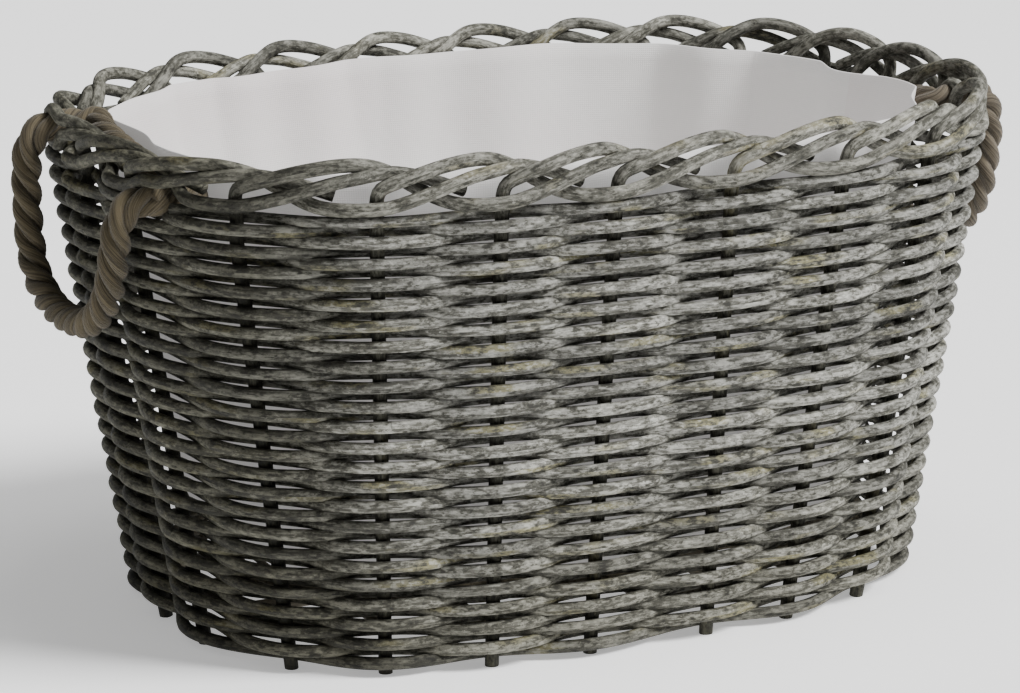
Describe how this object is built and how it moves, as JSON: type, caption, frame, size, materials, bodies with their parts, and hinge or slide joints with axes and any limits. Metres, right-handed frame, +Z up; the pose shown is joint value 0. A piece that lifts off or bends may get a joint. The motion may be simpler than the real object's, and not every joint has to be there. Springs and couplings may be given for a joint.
{
  "type": "wicker log basket",
  "caption": "Oval log basket of plain-woven willow rods with a plaited rod border, a cloth liner and a twisted rope handle at each end.",
  "frame": {"origin": "on the floor, in the middle under the basket", "axes": "+Z up, +X along the basket's length towards one rope handle, +Y across it"},
  "size_m": [0.651, 0.4555, 0.3427],
  "materials": {
    "willow_stakes": "matte",
    "willow_weave": "matte",
    "willow_base": "matte",
    "liner_cloth": "matte",
    "rope": "matte"
  },
  "bodies": {
    "basket": {"stake_01": "willow_stakes", "stake_02": "willow_stakes", "stake_03": "willow_stakes", "stake_04": "willow_stakes", "stake_05": "willow_stakes", "stake_06": "willow_stakes", "stake_07": "willow_stakes", "stake_08": "willow_stakes", "stake_09": "willow_stakes", "stake_10": "willow_stakes", "stake_11": "willow_stakes", "stake_12": "willow_stakes", "stake_13": "willow_stakes", "stake_14": "willow_stakes", "stake_15": "willow_stakes", "stake_16": "willow_stakes", "stake_17": "willow_stakes", "stake_18": "willow_stakes", "stake_19": "willow_stakes", "stake_20": "willow_stakes", "stake_21": "willow_stakes", "stake_22": "willow_stakes", "weave_band_01": "willow_weave", "weave_band_02": "willow_weave", "weave_band_03": "willow_weave", "weave_band_04": "willow_weave", "weave_band_05": "willow_weave", "weave_band_06": "willow_weave", "weave_band_07": "willow_weave", "weave_band_08": "willow_weave", "weave_band_09": "willow_weave", "weave_band_10": "willow_weave", "weave_band_11": "willow_weave", "weave_band_12": "willow_weave", "weave_band_13": "willow_weave", "weave_band_14": "willow_weave", "weave_band_15": "willow_weave", "base_hoop": "willow_base", "base_long_sticks": "willow_base", "base_cross_sticks": "willow_base", "base_weave": "willow_base", "liner": "liner_cloth", "rope_left_run": "rope", "rope_right_run": "rope"},
    "handle_left": {"rope_left_loop": "rope"},
    "handle_right": {"rope_right_loop": "rope"}
  },
  "joints": [
    {"name": "handle_left_swing", "type": "hinge", "parent": "basket", "child": "handle_left", "pos_m": [-0.316, -0.0065, 0.2985], "axis": [0, 1, 0], "range_deg": [-3, 160]},
    {"name": "handle_right_swing", "type": "hinge", "parent": "basket", "child": "handle_right", "pos_m": [0.316, -0.014, 0.2985], "axis": [0, -1, 0], "range_deg": [-3, 160]}
  ]
}
